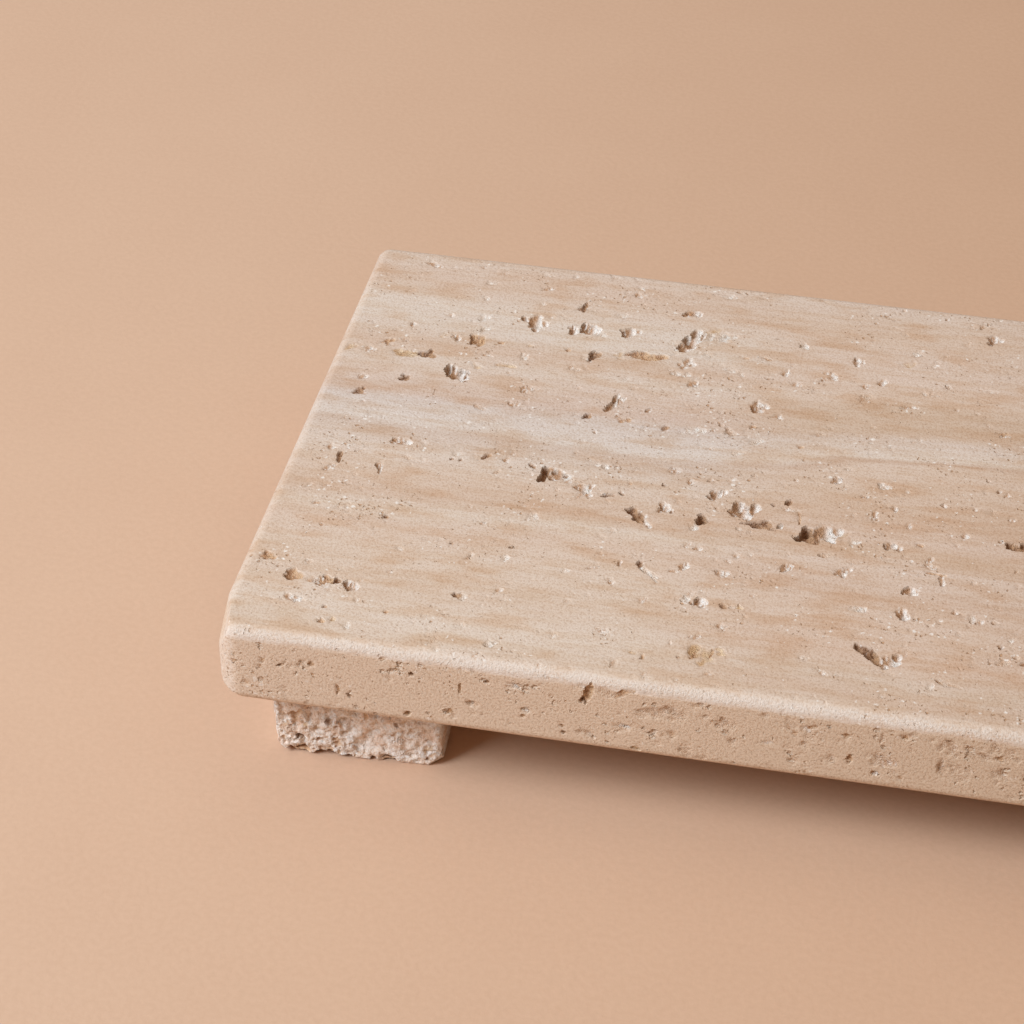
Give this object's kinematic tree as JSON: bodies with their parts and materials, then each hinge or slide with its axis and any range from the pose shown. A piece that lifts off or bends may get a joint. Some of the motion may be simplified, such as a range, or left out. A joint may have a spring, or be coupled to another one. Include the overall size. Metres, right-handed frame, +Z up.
{
  "type": "footed tray",
  "caption": "Rectangular unfilled travertine slab with eased edges, raised on square travertine block feet, used as a display and vanity tray.",
  "frame": {"origin": "under the middle of the slab, on the plane that the feet stand on", "axes": "+X along the slab's length, +Y to its back edge, +Z up"},
  "size_m": [0.3, 0.15, 0.0412],
  "materials": {
    "honed_travertine": "honed, unfilled, pinkish beige with cream and tan bedding",
    "rough_travertine": "sawn and left rough, open pores with ochre stains",
    "cured_adhesive": "cured stone adhesive, translucent cream, satin"
  },
  "bodies": {
    "root": {"slab": "honed_travertine", "foot_front_left": "rough_travertine", "foot_front_right": "rough_travertine", "foot_back_left": "rough_travertine", "foot_back_right": "rough_travertine", "adhesive_front_left": "cured_adhesive", "adhesive_front_right": "cured_adhesive", "adhesive_back_left": "cured_adhesive", "adhesive_back_right": "cured_adhesive"}
  },
  "joints": []
}
